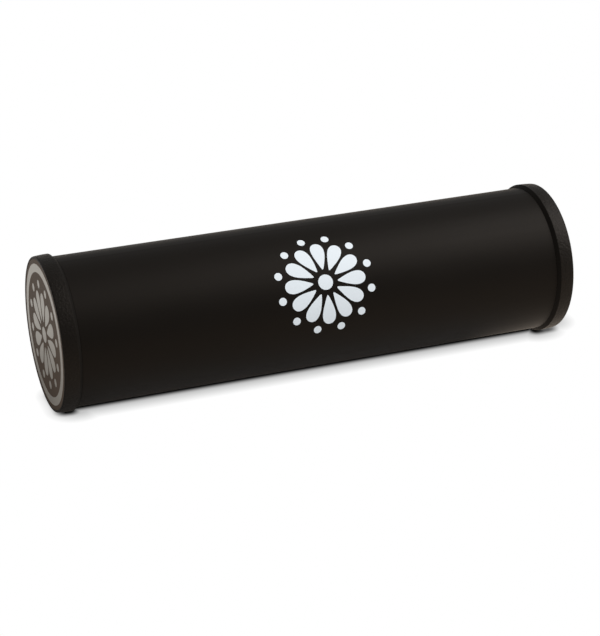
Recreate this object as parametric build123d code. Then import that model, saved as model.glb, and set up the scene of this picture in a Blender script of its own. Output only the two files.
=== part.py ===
from build123d import *
import math
import os

# Ganza shaker: a sealed plastic tube of loose steel shot, closed by a glued plug at each end.
# Millimetres. The tube lies along X and +Z is up. The origin is on the ground, below the middle
# of the tube: the shaker lies on the rims of its two caps.

# Body tube
overall_length = 183.5
tube_outer_diameter = 50.8
tube_wall = 2.0
tube_edge_break = 0.1

# Cap rim, which stands proud of the tube
rim_step = 1.1
rim_land = 5.05
rim_crown = 0.3
rim_chamfer = 1.1
rim_edge_radius = 0.45
rim_edge_break = 0.2

# Cap face and skirt
cap_face_thickness = 2.4
skirt_length = 9.0
skirt_wall = 1.6
skirt_lead_in = 0.6
inner_corner_radius = 1.0
glue_gap = 0.05

# Round label in a shallow recess of each cap face
face_border = 0.25
label_recess = 0.3
label_thickness = 0.22
label_clearance = 0.1

# Loose shot, in rows along the bottom of the bore
shot_diameter = 4.5
shot_clearance = 0.25
shot_end_clearance = 0.4
wall_rows = 7
wall_row_shot = 14
layer_taper_shot = 4
rest_stagger = 8.0

# Sizes that follow from those above
tube_radius = tube_outer_diameter / 2
bore_radius = tube_radius - tube_wall
rim_radius = tube_radius + rim_step
axis_height = rim_radius
cap_seat = rim_land + rim_chamfer
tube_length = overall_length - 2 * cap_seat
skirt_radius = bore_radius - glue_gap
skirt_bore = skirt_radius - skirt_wall
recess_radius = rim_radius - rim_crown - rim_edge_radius - face_border
label_radius = recess_radius - label_clearance
chamber_length = tube_length - 2 * skirt_length
shot_pitch = shot_diameter + shot_clearance
golden_ratio = (1 + math.sqrt(5)) / 2


def turned(outline, corners=(), crown=None):
    """Solid of revolution about X, with its seam on top. Outline points are (distance along X,
    radius), and corners gives the radius of each rounded point. A crown is an arc that closes
    the outline."""
    lines = Polyline(*outline, close=crown is None)
    if crown is not None:
        lines += crown
    profile = make_face(lines)
    for point, radius in corners:
        corner = profile.vertices().sort_by_distance(point)[0]
        profile = fillet(corner, radius)
    return Rot(90, 0, 0) * revolve(profile, Axis.X)


def lifted(shape):
    """The shape moved up from the X axis to the axis of the tube as it lies."""
    return Pos(0, 0, axis_height) * shape


def body_tube():
    """Plain tube with its two outer edges broken."""
    end = tube_length / 2
    outline = [
        (-end, bore_radius),
        (end, bore_radius),
        (end, tube_radius - tube_edge_break),
        (end - tube_edge_break, tube_radius),
        (tube_edge_break - end, tube_radius),
        (-end, tube_radius - tube_edge_break),
    ]
    return lifted(turned(outline))


def left_end_cap():
    """Plug with a rim whose land falls away to a rounded edge, a chamfer down to the tube, and a
    hollow skirt in the bore."""
    face = -overall_length / 2
    seat = face + cap_seat
    skirt_end = seat + skirt_length
    rim_corner = (face, rim_radius - rim_crown)
    land_end = (face + rim_land, rim_radius)
    cup_corner = (face + cap_face_thickness, skirt_bore)
    outline = [
        land_end,
        (seat, tube_radius),
        (seat, skirt_radius),
        (skirt_end - skirt_lead_in, skirt_radius),
        (skirt_end, skirt_radius - skirt_lead_in),
        (skirt_end, skirt_bore),
        cup_corner,
        (face + cap_face_thickness, 0),
        (face + label_recess, 0),
        (face + label_recess, recess_radius),
        (face, recess_radius),
        rim_corner,
    ]
    corners = [
        (rim_corner, rim_edge_radius),
        (land_end, rim_edge_break),
        (cup_corner, inner_corner_radius),
    ]
    crown = TangentArc(land_end, rim_corner, tangent=(-1, 0))
    return lifted(turned(outline, corners, crown))


def left_cap_label():
    """Thin disc stuck to the floor of the recess."""
    back = label_recess - overall_length / 2
    outline = [
        (back - label_thickness, 0),
        (back - label_thickness, label_radius),
        (back, label_radius),
        (back, 0),
    ]
    return lifted(turned(outline))


def other_end(shape):
    """The same piece at the right end."""
    return mirror(shape, Plane.YZ)


def groove_radius(outer_radius, half_angle):
    """Distance from the tube's axis of a row that lies in the groove between two rows below it,
    which are outer_radius from the axis and half_angle to each side."""
    half_gap = outer_radius * math.sin(half_angle)
    drop = math.sqrt(shot_pitch**2 - half_gap**2)
    return outer_radius * math.cos(half_angle) - drop


def wall_row_half_angle():
    """Half the angle between rows on the wall, just wide enough for rows in every groove."""
    outer_radius = bore_radius - shot_diameter / 2 - shot_clearance
    narrow = math.asin(shot_pitch / (2 * outer_radius))
    wide = 2 * narrow
    halvings = 50
    for _ in range(halvings):
        middle = (narrow + wide) / 2
        if 2 * groove_radius(outer_radius, middle) * math.sin(middle) < shot_pitch:
            narrow = middle
        else:
            wide = middle
    return wide


def row_places():
    """(layer, radius, angle from the lowest line) of each row of shot: the rows on the wall from
    the middle outwards, then a row in each groove between them, then one on top near the middle."""
    half_angle = wall_row_half_angle()
    wall_radius = bore_radius - shot_diameter / 2 - shot_clearance
    groove = groove_radius(wall_radius, half_angle)
    top = groove_radius(groove, half_angle)
    wall_steps = sorted(range(1 - wall_rows, wall_rows, 2), key=abs)
    groove_steps = sorted(range(2 - wall_rows, wall_rows - 1, 2), key=abs)
    top_step = (wall_rows + 1) % 2
    places = [(0, wall_radius, half_angle * step) for step in wall_steps]
    places += [(1, groove, half_angle * step) for step in groove_steps]
    return places + [(2, top, half_angle * top_step)]


def shot_row(radius, angle, count, shift):
    """A row of separate balls along X, side by side, with its middle at x = shift."""
    y = radius * math.sin(angle)
    z = -radius * math.cos(angle)
    first = shift - (count - 1) * shot_pitch / 2
    balls = [
        Pos(first + index * shot_pitch, y, z) * Sphere(shot_diameter / 2) for index in range(count)
    ]
    return lifted(Compound(children=balls))


def shot_rows():
    """Every row by name. The lowest row fills the length between the skirts. The others make a
    mound on it, with fewer balls in each layer, and have room to run to both ends."""
    clear_length = chamber_length - 2 * shot_end_clearance
    full_count = math.floor((clear_length + shot_clearance) / shot_pitch)
    rows = {}
    for number, (layer, radius, angle) in enumerate(row_places(), start=1):
        name = f"shot_row_{number:02d}"
        if number == 1:
            rows[name] = shot_row(radius, angle, full_count, 0.0)
            continue
        count = wall_row_shot - layer * layer_taper_shot
        shift = (number * golden_ratio % 1 - 0.5) * rest_stagger
        rows[name] = shot_row(radius, angle, count, shift)
        room = (clear_length + shot_clearance - count * shot_pitch) / 2
        print(f"{name} runs from {-room - shift:.3f} to {room - shift:.3f} mm")
    return rows


def pieces():
    """Every node by name."""
    cap = left_end_cap()
    label = left_cap_label()
    named = {
        "body_tube": body_tube(),
        "left_end_cap": cap,
        "right_end_cap": other_end(cap),
        "left_cap_label": label,
        "right_cap_label": other_end(label),
    }
    return named | shot_rows()


os.makedirs("parts", exist_ok=True)
for node, piece in pieces().items():
    piece.label = node
    export_step(piece, f"parts/{node}.step")
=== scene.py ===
import math

import bmesh
import bpy
from mathutils import Matrix, Vector


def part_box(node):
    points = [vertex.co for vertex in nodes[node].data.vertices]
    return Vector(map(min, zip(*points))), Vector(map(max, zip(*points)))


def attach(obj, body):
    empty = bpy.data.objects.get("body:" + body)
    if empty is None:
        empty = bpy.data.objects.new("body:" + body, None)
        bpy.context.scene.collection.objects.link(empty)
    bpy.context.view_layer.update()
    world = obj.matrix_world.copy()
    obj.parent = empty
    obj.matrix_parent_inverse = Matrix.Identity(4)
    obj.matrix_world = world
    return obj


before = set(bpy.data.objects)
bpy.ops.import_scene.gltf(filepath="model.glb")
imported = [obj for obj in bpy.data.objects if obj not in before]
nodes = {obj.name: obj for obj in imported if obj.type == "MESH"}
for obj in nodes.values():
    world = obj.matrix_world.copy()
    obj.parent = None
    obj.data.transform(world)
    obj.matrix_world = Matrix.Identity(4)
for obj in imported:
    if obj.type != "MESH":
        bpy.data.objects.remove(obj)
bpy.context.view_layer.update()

# A tubular hand shaker that lies on the rims of its two end caps, in metres, with the tube along X.

MM = 0.001
tube_low, tube_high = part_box("body_tube")
cap_low, cap_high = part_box("left_end_cap")
label_low, label_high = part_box("left_cap_label")
tube_radius = (tube_high.z - tube_low.z) / 2
rim_radius = (cap_high.z - cap_low.z) / 2
label_radius = (label_high.z - label_low.z) / 2
half_length = -cap_low.x
seat = tube_high.x
label_face = -label_low.x
axis_height = rim_radius

# The camera stands where the photograph was taken from.
CAMERA_AZIMUTH = math.radians(-20.9)
CAMERA_ELEVATION = math.radians(25.48)
CAMERA_DISTANCE = 0.6863
CAMERA_TARGET = Vector((-0.00094, 0.0, 0.01723))
FOCAL_PIXELS = 1969.0
FRAME_LONG_SIDE = 636
SENSOR_WIDTH = 36.0
CLIP_NEAR = 0.01
CLIP_FAR = 50.0

# The print is a rosette: petals round a middle bead, and a bead outside each gap.
PETAL_COUNT = 12
PETAL_INNER = 4.4 * MM
PETAL_OUTER = 14.4 * MM
PETAL_HALF_WIDTH = 3.3 * MM
PETAL_TAPER = 0.38
MIDDLE_BEAD = 2.6 * MM
OUTER_BEAD = 1.35 * MM
OUTER_BEAD_RING = 16.5 * MM
PRINT_THICKNESS = 0.03 * MM
PRINT_CENTRE_ANGLE = math.radians(32.0)
LABEL_PRINT_SCALE = 1.04
LABEL_MARGIN = 1.55 * MM
LABEL_BORDER = 2.8 * MM
SHARP_ANGLE = math.radians(40.0)
MERGE_SHARE = 0.001

# The chamfer on each cap, next to the tube, and how softly the texture and the painted shade of the
# joint stop there
CHAMFER = 1.1 * MM
BLEND = 0.12 * MM

# Finishes. A finish runs between two linear colours.
TUBE_BLACK = ((0.0046, 0.0037, 0.0029, 1), (0.0062, 0.0050, 0.0040, 1))
SPARK_BLACK = ((0.0018, 0.0015, 0.0012, 1), (0.0080, 0.0065, 0.0052, 1))
CHAMFER_BLACK = ((0.0042, 0.0036, 0.0030, 1), (0.0066, 0.0057, 0.0048, 1))
# The label's colour is its dark film with a painted sheen, which lightens it to grey-brown.
LABEL_BROWN_AND_SHEEN = ((0.108, 0.080, 0.060, 1), (0.160, 0.119, 0.090, 1))
PRINT_WHITE = ((0.71, 0.76, 0.80, 1), (0.78, 0.83, 0.87, 1))
PRINT_SILVER = ((0.415, 0.391, 0.350, 1), (0.637, 0.601, 0.543, 1))
SHOT_STEEL = ((0.48, 0.48, 0.49, 1), (0.68, 0.68, 0.69, 1))
WARM_GLOSS = (1.0, 0.88, 0.78, 1)
BROWN_GLOSS = (1.0, 0.82, 0.66, 1)
WHITE = (1, 1, 1, 1)

# Light: an even pale room, and one large softbox above the right end.
ROOM_LEVEL = 0.42
SOFTBOX_PLACE = (0.85, -0.25, 0.95)
SOFTBOX_SIZE = 1.1
SOFTBOX_RADIANCE = 4.7

# Contact shadow: the floor is painted dark by the patches that the tube and the rims all but touch,
# and softly further out. A patch is (left, right, half width), across the X axis.
DARK_PATCHES = [
    (-seat, seat, 3.8 * MM),
    (3.8 * MM - half_length, 5.4 * MM - half_length, 6.2 * MM),
    (seat + 2.9 * MM, half_length + 1.75 * MM, 6.6 * MM),
]
SOFT_PATCHES = [
    (7.75 * MM - half_length, seat + 2.0 * MM, 3.8 * MM),
    (1.2 * MM - seat, 2.2 * MM - seat, 5.2 * MM),
    (seat + 2.4 * MM, seat + 3.9 * MM, 6.0 * MM),
    (seat, half_length + 4.25 * MM, 1.0 * MM),
]
DARK_REACH = (1.2 * MM, 4.6 * MM)
SOFT_REACH = (4.0 * MM, 10.5 * MM)
DARK_SHARE = 0.55
FLOOR_ALBEDO = 0.8
# The camera sees this dark paint in the painted shadow, with the real shade on it.
PAINTED_SHADOW_ALBEDO = 0.10
FLOOR_SIZE = 6.0

# A grey flag on the floor by the left end, unseen by the camera, takes light off the foot of that label.
FLAG_LENGTH = 45.0 * MM
FLAG_HALF_WIDTH = 40.0 * MM
FLAG_REACH = 20.0 * MM
FLAG_ALBEDO = 0.42

# Painted reflection: glossy rays see the floor glow warm white in front of the shaker and to its right,
# and less of it elsewhere.
MIRRORED_FRONT = -20.0 * MM
MIRRORED_RIGHT = 58.0 * MM
MIRRORED_BACK = 400.0 * MM
MIRRORED_LEFT = -400.0 * MM
MIRRORED_REACH = 30.0 * MM
MIRRORED_LEAST = 0.09
PAINTED_GLOW_COLOUR = (1.15, 0.99, 0.84, 1)

# Sockets of a Mix node that blends colours, by number because their names repeat
MIX_FACTOR = 0
MIX_FIRST = 6
MIX_SECOND = 7
MIX_RESULT = 2


class Signal:
    """A socket among a material's nodes. Arithmetic on it adds Math nodes, and make adds any node."""

    def __init__(self, tree, socket=None):
        self.tree = tree
        self.socket = socket

    def make(self, kind, settings=None, inputs=None, output=0):
        """Adds a node, sets it, fills or links its sockets, and returns one of its outputs."""
        node = self.tree.nodes.new("ShaderNode" + kind)
        for name, value in (settings or {}).items():
            setattr(node, name, value)
        for name, value in (inputs or {}).items():
            if isinstance(value, Signal):
                self.tree.links.new(value.socket, node.inputs[name])
            else:
                node.inputs[name].default_value = value
        return Signal(self.tree, node.outputs[output] if node.outputs else None)

    def maths(self, operation, *values):
        """Adds a Math node on signals and numbers."""
        return self.make("Math", {"operation": operation}, dict(enumerate(values)))

    def __add__(self, other):
        return self.maths("ADD", self, other)

    def __sub__(self, other):
        return self.maths("SUBTRACT", self, other)

    def __mul__(self, other):
        return self.maths("MULTIPLY", self, other)

    def __rsub__(self, other):
        return self.maths("SUBTRACT", other, self)

    __radd__ = __add__
    __rmul__ = __mul__


def new_material(name):
    """An empty material, the start of its node expressions, and each point's place on the object."""
    material = bpy.data.materials.new(name)
    material.use_nodes = True
    material.node_tree.nodes.clear()
    start = Signal(material.node_tree)
    return material, start, start.make("TexCoord", output="Object")


def finish_material(start, shader):
    """Joins a shader to the material's output."""
    start.make("OutputMaterial", inputs={"Surface": shader})


def noise(start, place, scale, detail=2.0, roughness=0.5):
    """Noise from 0 to 1 with grains about 1 / scale metres wide."""
    settings = {"noise_dimensions": "3D"}
    inputs = {"Vector": place, "Scale": scale, "Detail": detail, "Roughness": roughness}
    return start.make("TexNoise", settings, inputs)


def stretched(start, place, scale):
    """The same place with each axis scaled, so that a pattern on it is drawn out."""
    return start.make("Mapping", inputs={"Vector": place, "Scale": scale})


def along_axis(start, place, axis):
    """One coordinate of a place."""
    return start.make("SeparateXYZ", inputs={"Vector": place}, output=axis)


def ramped(start, value, low, high, interpolation="LINEAR"):
    """0 below low, 1 above high, and a slope between."""
    settings = {"interpolation_type": interpolation}
    return start.make("MapRange", settings, {"Value": value, "From Min": low, "From Max": high})


def blended(start, factor, first, second):
    """A colour between two, by a factor from 0 to 1."""
    inputs = {MIX_FACTOR: factor, MIX_FIRST: first, MIX_SECOND: second}
    return start.make("Mix", {"data_type": "RGBA"}, inputs, output=MIX_RESULT)


def mixed(start, factor, first, second):
    """A shader between two, by a factor from 0 to 1."""
    return start.make("MixShader", inputs=dict(enumerate((factor, first, second))))


def relief(start, height, strength, depth):
    """A normal bent by a height from 0 to 1."""
    return start.make("Bump", inputs={"Strength": strength, "Distance": depth, "Height": height})


def satin_tube():
    """Extruded black plastic: a fine even grain, faint lines along the tube and a few smudges."""
    material, start, place = new_material("satin_tube")
    mottle = noise(start, place, scale=45.0, detail=3.0)
    grain = noise(start, place, scale=2600.0)
    drawn = noise(start, stretched(start, place, (8.0, 700.0, 700.0)), scale=1.0)
    shader = start.make(
        "BsdfPrincipled",
        inputs={
            "Base Color": blended(start, mottle, *TUBE_BLACK),
            "Roughness": 0.40 + 0.10 * mottle + 0.06 * drawn,
            "Specular IOR Level": 0.09,
            "Specular Tint": WARM_GLOSS,
            "Normal": relief(start, 0.7 * grain + 0.3 * drawn, strength=0.10, depth=0.06 * MM),
        },
    )
    finish_material(start, shader)
    return material


def moulded_cap():
    """Black moulded plastic: spark-eroded on the land and the face, plain on the chamfer to the tube,
    with weaker gloss there as painted shade in the joint.
    """
    material, start, place = new_material("moulded_cap")
    mottle = noise(start, place, scale=60.0, detail=3.0)
    spark = noise(start, place, scale=1400.0, roughness=0.6)
    textured = start.make(
        "BsdfPrincipled",
        inputs={
            "Base Color": blended(start, spark, *SPARK_BLACK),
            "Roughness": 0.42 + 0.12 * mottle,
            "Specular IOR Level": 0.13,
            "Specular Tint": WARM_GLOSS,
            "Normal": relief(start, spark, strength=0.9, depth=0.2 * MM),
        },
    )
    # A plainer copy of the finish with weaker gloss: painted shade in the joint between cap and tube.
    plain = start.make(
        "BsdfPrincipled",
        inputs={
            "Base Color": blended(start, mottle, *CHAMFER_BLACK),
            "Roughness": 0.62 + 0.10 * mottle,
            "Specular IOR Level": 0.09,
            "Specular Tint": WARM_GLOSS,
        },
    )
    x = along_axis(start, place, "X")
    chamfer_end = seat + CHAMFER
    land = ramped(start, x.maths("ABSOLUTE", x), chamfer_end - BLEND, chamfer_end + BLEND)
    finish_material(start, mixed(start, land, plain, textured))
    return material


def label_film():
    """Matte grey-brown printed film with a fine mottle in the ink: a dark film with a painted sheen that
    lightens it, and its own gloss nearly off.
    """
    material, start, place = new_material("label_film")
    cloud = noise(start, place, scale=120.0, detail=3.0)
    speck = noise(start, place, scale=2200.0)
    shader = start.make(
        "BsdfPrincipled",
        inputs={
            "Base Color": blended(start, 0.6 * cloud + 0.4 * speck, *LABEL_BROWN_AND_SHEEN),
            "Roughness": 0.42 + 0.15 * cloud,
            "Specular IOR Level": 0.02,
            "Specular Tint": BROWN_GLOSS,
            "Normal": relief(start, speck, strength=0.06, depth=0.05 * MM),
        },
    )
    finish_material(start, shader)
    return material


def white_ink():
    """Opaque screen ink, a little uneven, with the tube's grain in it."""
    material, start, place = new_material("white_ink")
    cloud = noise(start, place, scale=150.0, detail=3.0)
    grain = noise(start, place, scale=2600.0)
    shader = start.make(
        "BsdfPrincipled",
        inputs={
            "Base Color": blended(start, 0.5 * cloud + 0.5 * grain, *PRINT_WHITE),
            "Roughness": 0.45 + 0.15 * cloud,
            "Specular IOR Level": 0.2,
            "Normal": relief(start, grain, strength=0.06, depth=0.05 * MM),
        },
    )
    finish_material(start, shader)
    return material


def silver_ink():
    """Silver printing ink: fine metal flakes in a clear binder."""
    material, start, place = new_material("silver_ink")
    cloud = noise(start, place, scale=150.0, detail=3.0)
    flake = noise(start, place, scale=4200.0)
    shader = start.make(
        "BsdfPrincipled",
        inputs={
            "Base Color": blended(start, 0.4 * cloud + 0.6 * flake, *PRINT_SILVER),
            "Metallic": 0.6,
            "Roughness": 0.42 + 0.12 * cloud,
            "Specular IOR Level": 0.3,
            "Normal": relief(start, flake, strength=0.10, depth=0.04 * MM),
        },
    )
    finish_material(start, shader)
    return material


def tumbled_steel():
    """Bright steel shot, dulled by rubbing against itself."""
    material, start, place = new_material("tumbled_steel")
    scuff = noise(start, place, scale=1400.0, detail=4.0, roughness=0.65)
    shader = start.make(
        "BsdfPrincipled",
        inputs={
            "Base Color": blended(start, scuff, *SHOT_STEEL),
            "Metallic": 1.0,
            "Roughness": 0.18 + 0.25 * scuff,
            "Normal": relief(start, scuff, strength=0.10, depth=0.04 * MM),
        },
    )
    finish_material(start, shader)
    return material


def flat_ring(inner, outer, rings, sides):
    """A flat round patch facing +Z, a disc if inner is 0, with rings of faces that can wrap a tube."""
    shape = bmesh.new()
    width = outer - inner
    spoke = [shape.verts.new((inner + width * step / rings, 0, 0)) for step in range(rings + 1)]
    edges = [shape.edges.new(pair) for pair in zip(spoke, spoke[1:])]
    bmesh.ops.spin(
        shape, geom=spoke + edges, axis=(0, 0, 1), angle=2 * math.pi, steps=sides, use_merge=True
    )
    bmesh.ops.remove_doubles(shape, verts=shape.verts, dist=outer * MERGE_SHARE)
    bmesh.ops.recalc_face_normals(shape, faces=shape.faces)
    shape.faces.ensure_lookup_table()
    if shape.faces[0].normal.z < 0:
        bmesh.ops.reverse_faces(shape, faces=shape.faces)
    return shape


def bead(radius, distance, turn):
    """A round dot of ink, at a distance from the middle and a turn about it."""
    shape = flat_ring(0.0, radius, rings=4, sides=40)
    bmesh.ops.translate(shape, vec=(distance, 0, 0), verts=shape.verts)
    bmesh.ops.rotate(shape, matrix=Matrix.Rotation(turn, 3, "Z"), verts=shape.verts)
    return shape


def petal(turn):
    """A petal of ink that points outwards, narrower at its inner end."""
    half = (PETAL_OUTER - PETAL_INNER) / 2
    shape = flat_ring(0.0, 1.0, rings=8, sides=48)
    for point in shape.verts:
        point.co.y *= 1 - PETAL_TAPER + PETAL_TAPER * point.co.x
    bmesh.ops.scale(shape, vec=(half, PETAL_HALF_WIDTH, 1), verts=shape.verts)
    bmesh.ops.translate(shape, vec=(PETAL_INNER + half, 0, 0), verts=shape.verts)
    bmesh.ops.rotate(shape, matrix=Matrix.Rotation(turn, 3, "Z"), verts=shape.verts)
    return shape


def rosette():
    """The patches of ink of one rosette, laid flat and facing +Z."""
    step = 2 * math.pi / PETAL_COUNT
    patches = [bead(MIDDLE_BEAD, 0.0, 0.0)]
    for index in range(PETAL_COUNT):
        patches.append(petal(index * step))
        patches.append(bead(OUTER_BEAD, OUTER_BEAD_RING, (index + 0.5) * step))
    return patches


def joined(name, patches):
    """One mesh of all the patches, each given the thickness of a coat of ink."""
    mesh = bpy.data.meshes.new(name)
    whole = bmesh.new()
    for patch in patches:
        patch.to_mesh(mesh)
        patch.free()
        whole.from_mesh(mesh)
    bmesh.ops.solidify(whole, geom=whole.faces, thickness=-PRINT_THICKNESS)
    bmesh.ops.recalc_face_normals(whole, faces=whole.faces)
    return mesh, whole


def place_print(name, mesh, shape, material):
    """Makes a finished print on the shell from its shape."""
    shape.to_mesh(mesh)
    shape.free()
    mesh.shade_smooth()
    mesh.set_sharp_from_angle(angle=SHARP_ANGLE)
    mesh.materials.append(material)
    piece = bpy.data.objects.new(name, mesh)
    bpy.context.scene.collection.objects.link(piece)
    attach(piece, "shell")


def tube_print(material):
    """The rosette wrapped round the front of the tube, half way along."""
    mesh, shape = joined("tube_print", rosette())
    for point in shape.verts:
        turn = PRINT_CENTRE_ANGLE + point.co.y / tube_radius
        radius = tube_radius + point.co.z
        point.co = (point.co.x, -radius * math.cos(turn), axis_height + radius * math.sin(turn))
    place_print("tube_print", mesh, shape, material)


def label_print(name, side, material):
    """A plain border and the rosette on a cap's label. side is -1 at the left end, 1 at the right."""
    patches = rosette()
    for patch in patches:
        bmesh.ops.scale(patch, vec=(LABEL_PRINT_SCALE, LABEL_PRINT_SCALE, 1), verts=patch.verts)
    border = label_radius - LABEL_MARGIN
    patches.append(flat_ring(border - LABEL_BORDER, border, rings=2, sides=160))
    mesh, shape = joined(name, patches)
    turn = Matrix.Rotation(side * math.pi / 2, 4, "Y")
    face = Matrix.Translation((side * label_face, 0, axis_height))
    bmesh.ops.transform(shape, matrix=face @ turn, verts=shape.verts)
    place_print(name, mesh, shape, material)


def photo_camera():
    """The camera at the photograph's place and focal length."""
    lens = bpy.data.cameras.new("photo_camera")
    lens.sensor_width = SENSOR_WIDTH
    lens.lens = FOCAL_PIXELS / FRAME_LONG_SIDE * SENSOR_WIDTH
    lens.clip_start = CLIP_NEAR
    lens.clip_end = CLIP_FAR
    camera = bpy.data.objects.new("photo_camera", lens)
    back = Vector(
        (
            math.sin(CAMERA_AZIMUTH) * math.cos(CAMERA_ELEVATION),
            -math.cos(CAMERA_AZIMUTH) * math.cos(CAMERA_ELEVATION),
            math.sin(CAMERA_ELEVATION),
        )
    )
    camera.location = CAMERA_TARGET + back * CAMERA_DISTANCE
    camera.rotation_mode = "QUATERNION"
    camera.rotation_quaternion = (-back).to_track_quat("-Z", "Y")
    bpy.context.scene.collection.objects.link(camera)
    bpy.context.scene.camera = camera


def softbox():
    """A square area light that faces the object, with the given brightness of its face."""
    lamp = bpy.data.lights.new("softbox", "AREA")
    lamp.size = SOFTBOX_SIZE
    lamp.energy = SOFTBOX_RADIANCE * math.pi * SOFTBOX_SIZE**2
    light = bpy.data.objects.new("softbox", lamp)
    light.location = SOFTBOX_PLACE
    aim = Vector((0, 0, axis_height)) - Vector(SOFTBOX_PLACE)
    light.rotation_mode = "QUATERNION"
    light.rotation_quaternion = aim.to_track_quat("-Z", "Y")
    bpy.context.scene.collection.objects.link(light)


def studio_room():
    """Even pale light from all round, which the camera sees as white."""
    world = bpy.data.worlds.new("studio_room")
    world.use_nodes = True
    world.node_tree.nodes.clear()
    start = Signal(world.node_tree)
    seen = start.make("LightPath", output="Is Camera Ray")
    level = ROOM_LEVEL + (1 - ROOM_LEVEL) * seen
    sky = start.make("Background", inputs={"Color": WHITE, "Strength": level})
    start.make("OutputWorld", inputs={"Surface": sky})
    bpy.context.scene.world = world


def beyond(x, y, left, right, front, back):
    """Distance on the floor from a rectangle, 0 inside it."""
    aside = x.maths("MAXIMUM", x.maths("MAXIMUM", left - x, x - right), 0.0)
    ahead = y.maths("MAXIMUM", y.maths("MAXIMUM", front - y, y - back), 0.0)
    return x.maths("SQRT", aside * aside + ahead * ahead)


def beyond_patches(x, y, patches):
    """Distance on the floor from the nearest of several patches."""
    distances = [beyond(x, y, left, right, -half, half) for left, right, half in patches]
    nearest = distances[0]
    for distance in distances[1:]:
        nearest = x.maths("MINIMUM", nearest, distance)
    return nearest


def floor_paint():
    """Pale paint that the camera sees as white, apart from a painted shadow close to the shaker, where
    dark paint also shows the real shade.
    """
    material, start, place = new_material("floor_paint")
    x = along_axis(start, place, "X")
    y = along_axis(start, place, "Y")
    seen = start.make("LightPath", output="Is Camera Ray")
    mirrored = start.make("LightPath", output="Is Glossy Ray")
    through = start.make("LightPath", output="Is Transmission Ray")

    # Painted shadow: the farther from the dark and soft patches, the whiter the camera sees the floor.
    near = ramped(start, beyond_patches(x, y, DARK_PATCHES), *DARK_REACH, "SMOOTHSTEP")
    far = ramped(start, beyond_patches(x, y, SOFT_PATCHES), *SOFT_REACH)
    clear = DARK_SHARE * near + (1 - DARK_SHARE) * far
    # A painted glow for glossy and transmission rays: faint in the rectangle behind and left of the
    # shaker, full beyond it.
    glow_distance = beyond(x, y, MIRRORED_LEFT, MIRRORED_RIGHT, MIRRORED_FRONT, MIRRORED_BACK)
    brightness = MIRRORED_LEAST + (1 - MIRRORED_LEAST) * ramped(start, glow_distance, 0.0, MIRRORED_REACH)
    glossy_glow = seen.maths("MAXIMUM", mirrored, through) * brightness
    whiteness = seen.maths("MAXIMUM", seen * clear, glossy_glow)

    flag_left = -half_length - FLAG_LENGTH
    off_flag = beyond(x, y, flag_left, -half_length, -FLAG_HALF_WIDTH, FLAG_HALF_WIDTH)
    open_floor = ramped(start, off_flag, 0.0, FLAG_REACH)
    bounced = FLAG_ALBEDO + (FLOOR_ALBEDO - FLAG_ALBEDO) * open_floor
    # The camera sees the dark paint of the painted shadow; bounced light sees the pale paint and the
    # flag.
    albedo = bounced + (PAINTED_SHADOW_ALBEDO - bounced) * seen

    paint = start.make("BsdfDiffuse", inputs={"Color": albedo})
    # White to the camera; to glossy rays a painted warm glow, brighter than white.
    bright = blended(start, seen, PAINTED_GLOW_COLOUR, WHITE)
    white = start.make("Emission", inputs={"Color": bright, "Strength": 1.0})
    finish_material(start, mixed(start, whiteness, paint, white))
    return material


def white_floor():
    """The floor that the shaker lies on."""
    shape = bmesh.new()
    bmesh.ops.create_grid(shape, x_segments=1, y_segments=1, size=FLOOR_SIZE)
    mesh = bpy.data.meshes.new("floor")
    shape.to_mesh(mesh)
    shape.free()
    mesh.materials.append(floor_paint())
    floor = bpy.data.objects.new("floor", mesh)
    bpy.context.scene.collection.objects.link(floor)


def dress(names, material):
    """Gives CAD nodes their finish."""
    for name in names:
        mesh = nodes[name].data
        mesh.materials.clear()
        mesh.materials.append(material)


bpy.context.scene.view_settings.view_transform = "Standard"
photo_camera()

dress(["body_tube"], satin_tube())
dress(["left_end_cap", "right_end_cap"], moulded_cap())
dress(["left_cap_label", "right_cap_label"], label_film())
dress([name for name in nodes if name.startswith("shot_row")], tumbled_steel())
tube_print(white_ink())
silver = silver_ink()
label_print("left_label_print", -1, silver)
label_print("right_label_print", 1, silver)

white_floor()
studio_room()
softbox()
